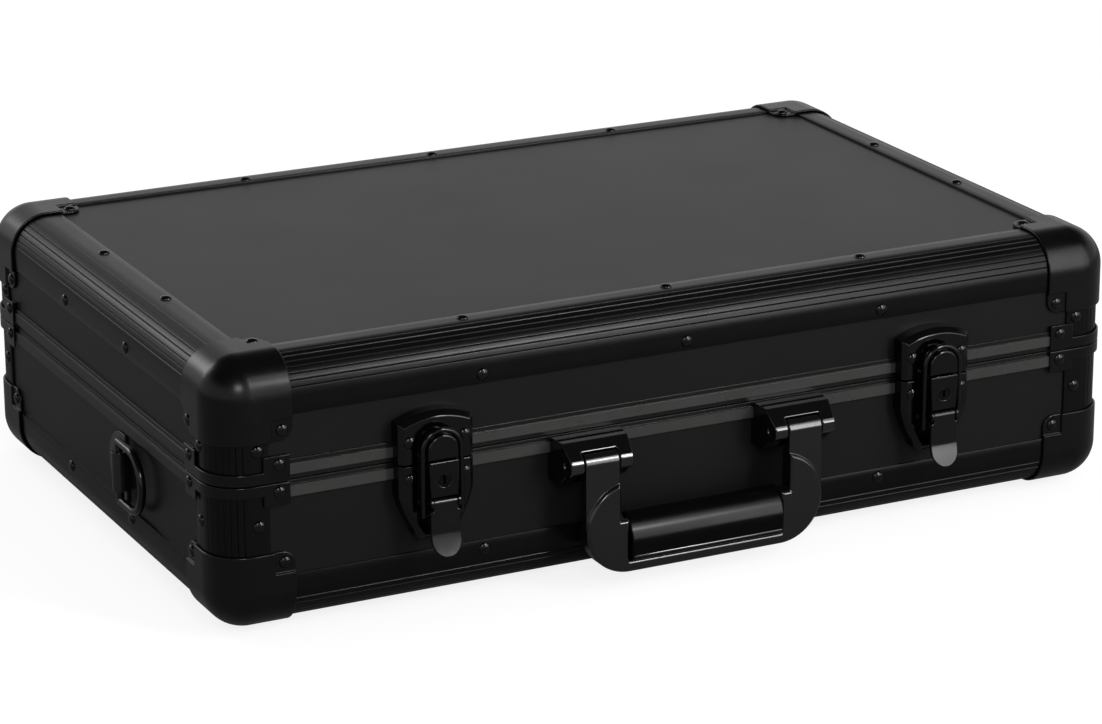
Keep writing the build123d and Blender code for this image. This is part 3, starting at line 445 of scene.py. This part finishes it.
def softened(nodeName, width, material, reshape=None):
    # the node's own shape with its edges broken by a small round
    r = rounding
    bm = welded(nodeName)
    bmesh.ops.dissolve_limit(bm, angle_limit=math.radians(r["flat"]), verts=bm.verts,
                             edges=bm.edges, delimit={"NORMAL"})
    if reshape:
        reshape(bm)
    mesh = bpy.data.meshes.new(camel(nodeName))
    bm.to_mesh(mesh)
    bm.free()
    piece = newPiece(camel(nodeName), mesh, material, sharp=r["sharp"])
    bevel = piece.modifiers.new("edgeRound", "BEVEL")
    bevel.width, bevel.segments = width * mm, r["segments"]
    bevel.limit_method, bevel.angle_limit = "ANGLE", math.radians(r["edgeAngle"])
    bevel.use_clamp_overlap = False
    bevel.miter_outer = "MITER_ARC"
    straight = BVHTree.FromPolygons([vert.co for vert in mesh.vertices],
                                    [face.vertices for face in mesh.polygons])
    rounded = evaluated(piece)
    for vert in rounded.vertices:
        # where a round is wider than the edge beside it, its point goes back onto the nearest face
        place, normal, face, away = straight.find_nearest(vert.co)
        outside = (vert.co - place).dot(normal) > 0
        if away > r["strayOut" if outside else "strayIn"] * width * mm:
            vert.co = place
    piece.modifiers.clear()
    piece.data = rounded
    flats = piece.modifiers.new("flatShading", "WEIGHTED_NORMAL")
    flats.mode, flats.keep_sharp = "FACE_AREA_WITH_ANGLE", True
    flats.weight = r["faceWeight"]
    shaded = evaluated(piece)
    piece.modifiers.clear()
    piece.data = shaded
    return dress(piece, nodeName)


def evaluated(piece):
    graph = bpy.context.evaluated_depsgraph_get()
    graph.update()
    return bpy.data.meshes.new_from_object(piece.evaluated_get(graph), depsgraph=graph)


def joinMeshes(name, meshes):
    bm = bmesh.new()
    for mesh in meshes:
        bm.from_mesh(mesh)
    whole = bpy.data.meshes.new(name)
    bm.to_mesh(whole)
    bm.free()
    return whole


# node trees
def newTree(name, inputs):
    tree = bpy.data.node_groups.new(name, "GeometryNodeTree")
    kinds = {"geometry": "NodeSocketGeometry", "float": "NodeSocketFloat",
             "int": "NodeSocketInt", "material": "NodeSocketMaterial"}
    for label, kind in [("Geometry", "geometry"), *inputs]:
        tree.interface.new_socket(name=label, in_out="INPUT", socket_type=kinds[kind])
    tree.interface.new_socket(name="Geometry", in_out="OUTPUT", socket_type=kinds["geometry"])
    start, end = addNode(tree, "NodeGroupInput"), addNode(tree, "NodeGroupOutput")
    return tree, start, end


def runTree(tree, mesh, values):
    # evaluates the tree on a mesh and returns the plain mesh that comes out
    holder = bpy.data.objects.new("scratch", mesh)
    scene.collection.objects.link(holder)
    mod = holder.modifiers.new("nodes", "NODES")
    mod.node_group = tree
    for item in tree.interface.items_tree:
        if item.in_out == "INPUT" and item.name in values:
            mod[item.identifier] = values[item.name]
    made = evaluated(holder)
    holder.modifiers.clear()
    bpy.data.objects.remove(holder)
    return made


def finishTree(tree, start, end, geometry):
    real = addNode(tree, "GeometryNodeRealizeInstances")
    paint = addNode(tree, "GeometryNodeSetMaterial")
    tree.links.new(geometry, real.inputs["Geometry"])
    tree.links.new(real.outputs["Geometry"], paint.inputs["Geometry"])
    tree.links.new(start.outputs["Material"], paint.inputs["Material"])
    tree.links.new(paint.outputs["Geometry"], end.inputs["Geometry"])


# ribbed edge profiles
profile = {
    "reach": 28.5,
    "radius": 20.0,
    "sheet": 1.2,
    "channel": 6.5,
    "lip": 0.3,
    "easing": 0.3,  # of the lip, at the point in the middle of each eased edge
    "ribDepth": 0.34,
    "ribWidth": 0.90,
    "firstRib": 15.0,
    "ribStep": 10.0,
    "lastRib": 75.0,
    "arcStep": 0.5,
    "weld": 0.001,
}


def profileSection(p):
    # the section as a closed line of points; the round back carries its angle for the ribs
    inner = p["sheet"] + p["channel"]
    deep = inner + p["sheet"]
    reach, radius, sheet, lip = p["reach"], p["radius"], p["sheet"], p["lip"]
    points, angles = [], []
    notRound = -100.0  # an angle that no rib comes near

    def corner(u, v):
        points.append((u, v))
        angles.append(notRound)

    eased = p["easing"] * lip
    corner(reach, lip)
    corner(reach - eased, eased)
    corner(reach - lip, 0)
    corner((reach + radius) / 2, 0)
    steps = round(90 / p["arcStep"])
    for i in range(steps + 1):
        a = 90 * i / steps
        turn = math.radians(270 - a)
        points.append((radius * (1 + math.cos(turn)), radius * (1 + math.sin(turn))))
        angles.append(a)
    corner(0, (reach + radius) / 2)
    corner(0, reach - lip)
    corner(eased, reach - eased)
    corner(lip, reach)
    for u, v in ((sheet, reach), (sheet, radius), (inner, radius), (inner, reach), (deep, reach),
                 (deep, deep), (reach, deep), (reach, inner), (radius, inner), (radius, sheet),
                 (reach, sheet)):
        corner(u, v)
    mesh = bpy.data.meshes.new("profileSection")
    count = len(points)
    edges = [(i, (i + 1) % count) for i in range(count)]
    mesh.from_pydata([(u * mm, v * mm, 0) for u, v in points], edges, [])
    back = mesh.attributes.new("backAngle", "FLOAT", "POINT")
    back.data.foreach_set("value", angles)
    return mesh


def profileTree():
    # draws the section along a straight run and cuts the ribs' grooves into its round back
    tree, start, end = newTree("ribbedProfile", [
        ("Length", "float"), ("Radius", "float"), ("Rib depth", "float"),
        ("Rib half angle", "float"), ("First rib", "float"), ("Rib step", "float"),
        ("Last rib", "float"), ("Material", "material")])
    links, sizes = tree.links, start.outputs
    angle = addNode(tree, "GeometryNodeInputNamedAttribute", data_type="FLOAT")
    angle.inputs["Name"].default_value = "backAngle"
    a = angle.outputs["Attribute"]
    past = numberNode(tree, "SUBTRACT", a, sizes["First rib"])
    ribs = numberNode(tree, "DIVIDE", past, sizes["Rib step"])
    away = numberNode(tree, "SUBTRACT", ribs, numberNode(tree, "ROUND", ribs))
    away = numberNode(tree, "MULTIPLY", numberNode(tree, "ABSOLUTE", away), sizes["Rib step"])
    groove = addNode(tree, "ShaderNodeMapRange", interpolation_type="SMOOTHSTEP")
    groove.inputs["From Min"].default_value = 0
    links.new(away, groove.inputs["Value"])
    links.new(sizes["Rib half angle"], groove.inputs["From Max"])
    links.new(sizes["Rib depth"], groove.inputs["To Min"])
    groove.inputs["To Max"].default_value = 0
    halfStep = numberNode(tree, "MULTIPLY", sizes["Rib step"], 0.5)
    after = numberNode(tree, "GREATER_THAN", past, numberNode(tree, "MULTIPLY", halfStep, -1))
    before = numberNode(tree, "LESS_THAN", a, numberNode(tree, "ADD", sizes["Last rib"], halfStep))
    ribbed = numberNode(tree, "MULTIPLY", after, before)
    depth = numberNode(tree, "MULTIPLY", ribbed, groove.outputs["Result"])
    place = addNode(tree, "GeometryNodeInputPosition")
    centre = addNode(tree, "ShaderNodeCombineXYZ")
    links.new(sizes["Radius"], centre.inputs["X"])
    links.new(sizes["Radius"], centre.inputs["Y"])
    inwards = addNode(tree, "ShaderNodeVectorMath", operation="SUBTRACT")
    links.new(centre.outputs[0], inwards.inputs[0])
    links.new(place.outputs[0], inwards.inputs[1])
    unit = addNode(tree, "ShaderNodeVectorMath", operation="NORMALIZE")
    links.new(inwards.outputs[0], unit.inputs[0])
    offset = addNode(tree, "ShaderNodeVectorMath", operation="SCALE")
    links.new(unit.outputs[0], offset.inputs[0])
    links.new(depth, offset.inputs["Scale"])
    cut = addNode(tree, "GeometryNodeSetPosition")
    links.new(sizes["Geometry"], cut.inputs["Geometry"])
    links.new(offset.outputs[0], cut.inputs["Offset"])
    outline = addNode(tree, "GeometryNodeMeshToCurve")
    links.new(cut.outputs["Geometry"], outline.inputs["Mesh"])
    half = numberNode(tree, "DIVIDE", sizes["Length"], 2)
    back = numberNode(tree, "MULTIPLY", half, -1)
    ends = []
    for value in (back, half):
        point = addNode(tree, "ShaderNodeCombineXYZ")
        links.new(value, point.inputs["Z"])
        ends.append(point.outputs[0])
    run = addNode(tree, "GeometryNodeCurvePrimitiveLine")
    links.new(ends[0], run.inputs["Start"])
    links.new(ends[1], run.inputs["End"])
    sweep = addNode(tree, "GeometryNodeCurveToMesh")
    sweep.inputs["Fill Caps"].default_value = True
    links.new(run.outputs[0], sweep.inputs["Curve"])
    links.new(outline.outputs[0], sweep.inputs["Profile Curve"])
    finishTree(tree, start, end, sweep.outputs[0])
    return tree


def profileRun(tree, p, length, middle, u, v):
    mesh = runTree(tree, profileSection(p), {
        "Length": length, "Radius": p["radius"] * mm, "Rib depth": p["ribDepth"] * mm,
        "Rib half angle": math.degrees(p["ribWidth"] / 2 / p["radius"]),
        "First rib": p["firstRib"], "Rib step": p["ribStep"], "Last rib": p["lastRib"],
        "Material": finish["profileCoat"]})
    u, v = Vector(u), Vector(v)
    turn = Matrix((u, v, u.cross(v))).transposed()
    mesh.transform(Matrix.Translation(middle) @ turn.to_4x4())
    bm = bmesh.new()
    bm.from_mesh(mesh)
    bmesh.ops.remove_doubles(bm, verts=bm.verts, dist=p["weld"] * mm)
    bmesh.ops.recalc_face_normals(bm, faces=bm.faces)
    bm.to_mesh(mesh)
    bm.free()
    return mesh


def dressProfile(nodeName, mesh):
    piece = newPiece(camel(nodeName), mesh, finish["profileCoat"])
    dress(piece, nodeName)


def makeProfiles(p):
    tree = profileTree()
    ends = ((caseLeft, 1), (caseRight, -1))  # each end's face, and the way into the case
    fronts = ((caseFront, 1), (caseBack, -1))
    for half, z, up in (("base", caseBottom, 1), ("lid", caseTop, -1)):
        longLow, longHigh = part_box(f"{half}_front_edge")
        for side, (y, inward) in zip(("front", "back"), fronts):
            run = profileRun(tree, p, longHigh.x - longLow.x, (0, y, z), (0, inward, 0), (0, 0, up))
            dressProfile(f"{half}_{side}_edge", run)

        shortLow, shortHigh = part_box(f"{half}_end_edges")
        shortRun = shortHigh.y - shortLow.y
        runs = [profileRun(tree, p, shortRun, (x, middleY, z), (inward, 0, 0), (0, 0, up))
                for x, inward in ends]
        dressProfile(f"{half}_end_edges", joinMeshes(f"{half}_end_edges", runs))

        low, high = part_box(f"{half}_corner_posts")
        middleZ = (low.z + high.z) / 2
        posts = [profileRun(tree, p, high.z - low.z, (x, y, middleZ), (inX, 0, 0), (0, inY, 0))
                 for x, inX in ends for y, inY in fronts]
        dressProfile(f"{half}_corner_posts", joinMeshes(f"{half}_corner_posts", posts))


makeProfiles(profile)
print("ribbed profiles are drawn")

# rivets
rivet = {
    "headRadius": 3.3,
    "headHeight": 1.5,
    "shankRadius": 1.6,
    "sides": 24,
    "rings": 12,
    "shankSides": 16,
    "headFrom": 1.3,  # points farther out than this many shank radii are the head's
}


def islands(nodeName):
    # the points of each loose solid in the node
    bm = welded(nodeName)
    left, groups = set(bm.verts), []
    while left:
        stack, group = [left.pop()], []
        while stack:
            vert = stack.pop()
            group.append(vert.co.copy())
            for edge in vert.link_edges:
                other = edge.other_vert(vert)
                if other in left:
                    left.discard(other)
                    stack.append(other)
        groups.append(group)
    bm.free()
    return groups


def rivetPlaces(nodeName, r):
    # each rivet's seat, the way its head points and its shank's length
    places = []
    for group in islands(nodeName):
        low, high = corners(group)
        size, middle = high - low, (low + high) / 2
        axis = max(range(3), key=lambda i: abs(size[i] - 2 * r["headRadius"] * mm))
        wide = []
        for c in group:
            away = [c[i] - middle[i] for i in range(3) if i != axis]
            if math.hypot(*away) > r["headFrom"] * r["shankRadius"] * mm:
                wide.append(c[axis])
        sign = 1 if sum(wide) / len(wide) > middle[axis] else -1
        seat = middle.copy()
        seat[axis] = (high[axis] if sign > 0 else low[axis]) - sign * r["headHeight"] * mm
        out = Vector((0, 0, 0))
        out[axis] = sign
        places.append((seat, out, size[axis] - r["headHeight"] * mm))
    return places


def rivetTree(r):
    # a domed head on a shank at every point, turned the way the point says
    tree, start, end = newTree("rivetHeads", [
        ("Head radius", "float"), ("Head height", "float"), ("Shank radius", "float"),
        ("Sides", "int"), ("Rings", "int"), ("Material", "material")])
    links, sizes = tree.links, start.outputs
    ball = addNode(tree, "GeometryNodeMeshUVSphere")
    ball.inputs["Radius"].default_value = 1
    links.new(sizes["Sides"], ball.inputs["Segments"])
    links.new(sizes["Rings"], ball.inputs["Rings"])
    place = addNode(tree, "GeometryNodeInputPosition")
    split = addNode(tree, "ShaderNodeSeparateXYZ")
    links.new(place.outputs[0], split.inputs[0])
    flat = addNode(tree, "ShaderNodeCombineXYZ")
    upper = numberNode(tree, "MAXIMUM", split.outputs["Z"], 0.0)
    for axis, along, size in (("X", split.outputs["X"], "Head radius"),
                              ("Y", split.outputs["Y"], "Head radius"),
                              ("Z", upper, "Head height")):
        links.new(numberNode(tree, "MULTIPLY", along, sizes[size]), flat.inputs[axis])
    dome = addNode(tree, "GeometryNodeSetPosition")
    links.new(ball.outputs["Mesh"], dome.inputs["Geometry"])
    links.new(flat.outputs[0], dome.inputs["Position"])
    shank = addNode(tree, "GeometryNodeMeshCylinder")
    shank.inputs["Vertices"].default_value = r["shankSides"]
    links.new(sizes["Shank radius"], shank.inputs["Radius"])
    shank.inputs["Depth"].default_value = 1
    turn = addNode(tree, "GeometryNodeInputNamedAttribute", data_type="FLOAT_VECTOR")
    turn.inputs["Name"].default_value = "turn"
    length = addNode(tree, "GeometryNodeInputNamedAttribute", data_type="FLOAT")
    length.inputs["Name"].default_value = "shankLength"
    rotation = addNode(tree, "FunctionNodeEulerToRotation")
    links.new(turn.outputs["Attribute"], rotation.inputs[0])
    heads = addNode(tree, "GeometryNodeInstanceOnPoints")
    links.new(sizes["Geometry"], heads.inputs["Points"])
    links.new(dome.outputs["Geometry"], heads.inputs["Instance"])
    links.new(rotation.outputs[0], heads.inputs["Rotation"])
    # the shank hangs from its seat before it is drawn out to its length
    lowered = addNode(tree, "GeometryNodeTransform")
    lowered.inputs["Translation"].default_value = (0, 0, -0.5)
    links.new(shank.outputs["Mesh"], lowered.inputs["Geometry"])
    scale = addNode(tree, "ShaderNodeCombineXYZ")
    scale.inputs["X"].default_value, scale.inputs["Y"].default_value = 1, 1
    links.new(length.outputs["Attribute"], scale.inputs["Z"])
    shanks = addNode(tree, "GeometryNodeInstanceOnPoints")
    links.new(sizes["Geometry"], shanks.inputs["Points"])
    links.new(lowered.outputs["Geometry"], shanks.inputs["Instance"])
    links.new(rotation.outputs[0], shanks.inputs["Rotation"])
    links.new(scale.outputs[0], shanks.inputs["Scale"])
    join = addNode(tree, "GeometryNodeJoinGeometry")
    links.new(heads.outputs[0], join.inputs[0])
    links.new(shanks.outputs[0], join.inputs[0])
    finishTree(tree, start, end, join.outputs[0])
    return tree


def makeRivets(r):
    tree = rivetTree(r)
    for nodeName in ("base_rivets", "lid_rivets"):
        places = rivetPlaces(nodeName, r)
        points = bpy.data.meshes.new("rivetPoints")
        points.from_pydata([tuple(seat) for seat, out, length in places], [], [])
        turn = points.attributes.new("turn", "FLOAT_VECTOR", "POINT")
        turns = []
        for seat, out, length in places:
            turns += list(out.to_track_quat("Z", "Y").to_euler())
        turn.data.foreach_set("vector", turns)
        shank = points.attributes.new("shankLength", "FLOAT", "POINT")
        shank.data.foreach_set("value", [length for seat, out, length in places])
        mesh = runTree(tree, points, {
            "Head radius": r["headRadius"] * mm, "Head height": r["headHeight"] * mm,
            "Shank radius": r["shankRadius"] * mm, "Sides": r["sides"], "Rings": r["rings"],
            "Material": finish["rivetPaint"]})
        piece = newPiece(camel(nodeName), mesh, finish["rivetPaint"], sharp=50)
        dress(piece, nodeName)
        print(nodeName, len(places))


makeRivets(rivet)

# foam
foam = {
    "corner": 2.5,
    "cornerPart": 0.3,  # and no more than this part of the thinnest side
    "cornerSteps": 3,
    "cell": 11.0,
    "crown": 0.9,
    "crownPower": 6,
    "ripple": 0.45,
    "rippleSize": 22.0,
    "ripplePower": 8,
    "touch": 0.001,  # how near a point lies to the open face to be one of its own
}


def foamBlock(bm, low, high, f, middle):
    # a cut block of foam: soft corners, and an open face that swells and ripples a little
    made = bmesh.ops.create_cube(bm, size=1)["verts"]
    size = high - low
    for vert in made:
        vert.co = Vector([low[i] + (vert.co[i] + 0.5) * size[i] for i in range(3)])
    edges = list({edge for vert in made for edge in vert.link_edges})
    corner = min(f["corner"] * mm, f["cornerPart"] * min(size))
    rounded = bmesh.ops.bevel(bm, geom=edges, offset=corner, segments=f["cornerSteps"],
                              profile=0.5, affect="EDGES")
    verts = {vert for face in rounded["faces"] for vert in face.verts}
    thin = min(range(3), key=lambda i: size[i])
    wide = [i for i in range(3) if i != thin]
    for i in wide:
        cuts = max(2, round(size[i] / (f["cell"] * mm)))
        for k in range(1, cuts):
            point, normal = Vector(low), Vector((0, 0, 0))
            point[i] += size[i] * k / cuts
            normal[i] = 1
            faces = {face for vert in verts for face in vert.link_faces}
            edges = {edge for face in faces for edge in face.edges}
            geom = [*verts, *edges, *faces]
            cut = bmesh.ops.bisect_plane(bm, geom=geom, plane_co=point, plane_no=normal)
            verts |= {item for item in cut["geom_cut"] if isinstance(item, bmesh.types.BMVert)}
    inward = 1 if middle[thin] > (low[thin] + high[thin]) / 2 else -1
    faceAt = high[thin] if inward > 0 else low[thin]
    for vert in verts:
        if abs(vert.co[thin] - faceAt) > f["touch"] * mm:
            continue
        edge = max(abs(2 * (vert.co[i] - low[i]) / size[i] - 1) for i in wide)
        swell = f["crown"] * (1 - edge ** f["crownPower"])
        ripple = f["ripple"] * noise.noise(vert.co / (f["rippleSize"] * mm))
        ripple *= 1 - edge ** f["ripplePower"]
        vert.co[thin] += inward * (swell + ripple) * mm


def makeFoam(f):
    middle = Vector((0, middleY, (caseBottom + caseTop) / 2))
    for nodeName in ("base_foam_pad", "lid_foam_pad", "base_foam_lining", "lid_foam_lining"):
        bm = bmesh.new()
        for group in islands(nodeName):
            block = bmesh.new()
            foamBlock(block, *corners(group), f, middle)
            part = bpy.data.meshes.new("foamBlock")
            block.to_mesh(part)
            block.free()
            bm.from_mesh(part)
        mesh = bpy.data.meshes.new(nodeName)
        bm.to_mesh(mesh)
        bm.free()
        piece = dress(newPiece(camel(nodeName), mesh, finish["openFoam"]), nodeName)


makeFoam(foam)
print("foam is cut")

# hardware with broken edges
capEnds = ("front_left", "front_right", "back_left", "back_right")
# node: (edge round in mm, finish, record slot)
hardware = {
    "base_front_rail": (0.22, "railCoat", "rail"),
    "base_back_rail": (0.22, "railCoat", "rail"),
    # the end rails take the coat whose bands carry painted shade
    "base_end_rails": (0.25, "shadedEndRailCoat", "rail"),
    "lid_front_rail": (0.22, "railCoat", "rail"),
    "lid_back_rail": (0.22, "railCoat", "rail"),
    "lid_end_rails": (0.25, "shadedEndRailCoat", "rail"),
    **{f"{half}_corner_{end}": (0.6, "cornerPaint", "corner")
       for half in ("base", "lid") for end in capEnds},
    "base_corner_brackets": (0.4, "bracketPaint", "corner"),
    "lid_corner_brackets": (0.4, "bracketPaint", "corner"),
    "catch_plates": (0.4, "latchPaint", "hardware"),
    "latch_plates": (0.4, "latchPaint", "hardware"),
    "latch_pins": (0.2, "rivetPaint", "fastener"),
    "latch_loop_left": (0.15, "latchPaint", "hardware"),
    "latch_loop_right": (0.15, "latchPaint", "hardware"),
    "lock_barrel_left": (0.15, "lockNickel", "lock"),
    "lock_barrel_right": (0.15, "lockNickel", "lock"),
    "handle_mounts": (0.7, "mountGloss", "mount"),
    "handle_pins": (0.2, "rivetPaint", "fastener"),
    "handle_frame": (0.5, "framePlastic", "handle"),
    "strap_plates": (0.3, "strapPaint", "hardware"),
    "strap_ring_left": (0.1, "ringSteel", "hardware"),
    "strap_ring_right": (0.1, "ringSteel", "hardware"),
    "hinge_base_leaves": (0.3, "bracketPaint", "hardware"),
    "hinge_lid_leaves": (0.3, "bracketPaint", "hardware"),
    "hinge_pins": (0.2, "rivetPaint", "fastener"),
    "rubber_feet": (0.6, "footRubber", "rubber"),
    "foot_screws": (0.25, "rivetPaint", "fastener"),
}

for nodeName, (width, finishName, slotName) in hardware.items():
    softened(nodeName, width, finish[finishName])

# grip, with a moulded bead along its lower lip
grip = {
    "round": 0.8,
    "beadRadius": 0.85,
    "beadRise": 2.6,  # its middle above the grip's lowest point
    "beadEnd": 1.6,  # what it leaves free at each end, before its rounds
    "beadSides": 20,
    "beadSteps": 6,  # rings in the round of each end
    "beadTip": 0.05,  # smallest ring, as a part of the radius
}


def makeGrip(g):
    piece = softened("handle_grip", g["round"], finish["gripPlastic"])
    low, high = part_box("handle_grip")
    piece.data.materials.append(finish["mountGloss"])
    bm = bmesh.new()
    bm.from_mesh(piece.data)
    before = set(bm.faces)
    length = (high.x - low.x) / 2 - g["beadEnd"] * mm
    rings = []
    steps = g["beadSteps"]
    for side in (-1, 1):
        for i in range(steps):
            turn = math.pi / 2 * (i / (steps - 1) if side > 0 else 1 - i / (steps - 1))
            radius = g["beadRadius"] * mm * max(math.cos(turn), g["beadTip"])
            x = side * (length + g["beadRadius"] * mm * math.sin(turn))
            y = low.y + g["beadRadius"] * mm
            z = low.z + g["beadRise"] * mm
            ring = []
            for k in range(g["beadSides"]):
                a = 2 * math.pi * k / g["beadSides"]
                ring.append(bm.verts.new((x, y + radius * math.cos(a), z + radius * math.sin(a))))
            rings.append(ring)
    for one, two in zip(rings, rings[1:]):
        for k in range(g["beadSides"]):
            n = (k + 1) % g["beadSides"]
            bm.faces.new((one[k], one[n], two[n], two[k]))
    bm.faces.new(rings[0])
    bm.faces.new(rings[-1])
    bead = [face for face in bm.faces if face not in before]
    bmesh.ops.recalc_face_normals(bm, faces=bead)
    for face in bead:
        face.material_index = 1
        face.smooth = True
    bm.to_mesh(piece.data)
    bm.free()


makeGrip(grip)

# levers, whose tips curl out for the finger
lever = {
    "round": 0.5,
    "curl": 1.7,  # how far the very tip stands out beyond the straight tongue
    "curlStart": 12.0,  # height above the tip where it begins
    "cuts": 9,
}


def curledTip(bm):
    low = min(vert.co.z for vert in bm.verts)
    start = low + lever["curlStart"] * mm
    for i in range(lever["cuts"]):
        height = low + (start - low) * (i + 0.5) / lever["cuts"]
        bmesh.ops.bisect_plane(bm, geom=bm.verts[:] + bm.edges[:] + bm.faces[:],
                               plane_co=(0, 0, height), plane_no=(0, 0, 1))
    for vert in bm.verts:
        if vert.co.z < start:
            vert.co.y -= lever["curl"] * mm * ((start - vert.co.z) / (start - low)) ** 2


for nodeName in ("latch_lever_left", "latch_lever_right"):
    softened(nodeName, lever["round"], finish["leverPaint"], reshape=curledTip)
print("hardware is dressed:", len(hardware))

# board panels keep the frame's own shape
boards = ["lid_top_panel", "lid_front_wall", "lid_back_wall", "lid_end_walls",
          "base_bottom_panel", "base_front_wall", "base_back_wall", "base_end_walls"]

for nodeName in boards:
    mesh = nodes[nodeName].data
    if mesh.materials:
        for slot in nodes[nodeName].material_slots:
            slot.material = finish["laminate"]
    else:
        mesh.materials.append(finish["laminate"])
print("boards are laminated")

scene.view_settings.view_transform = "Standard"
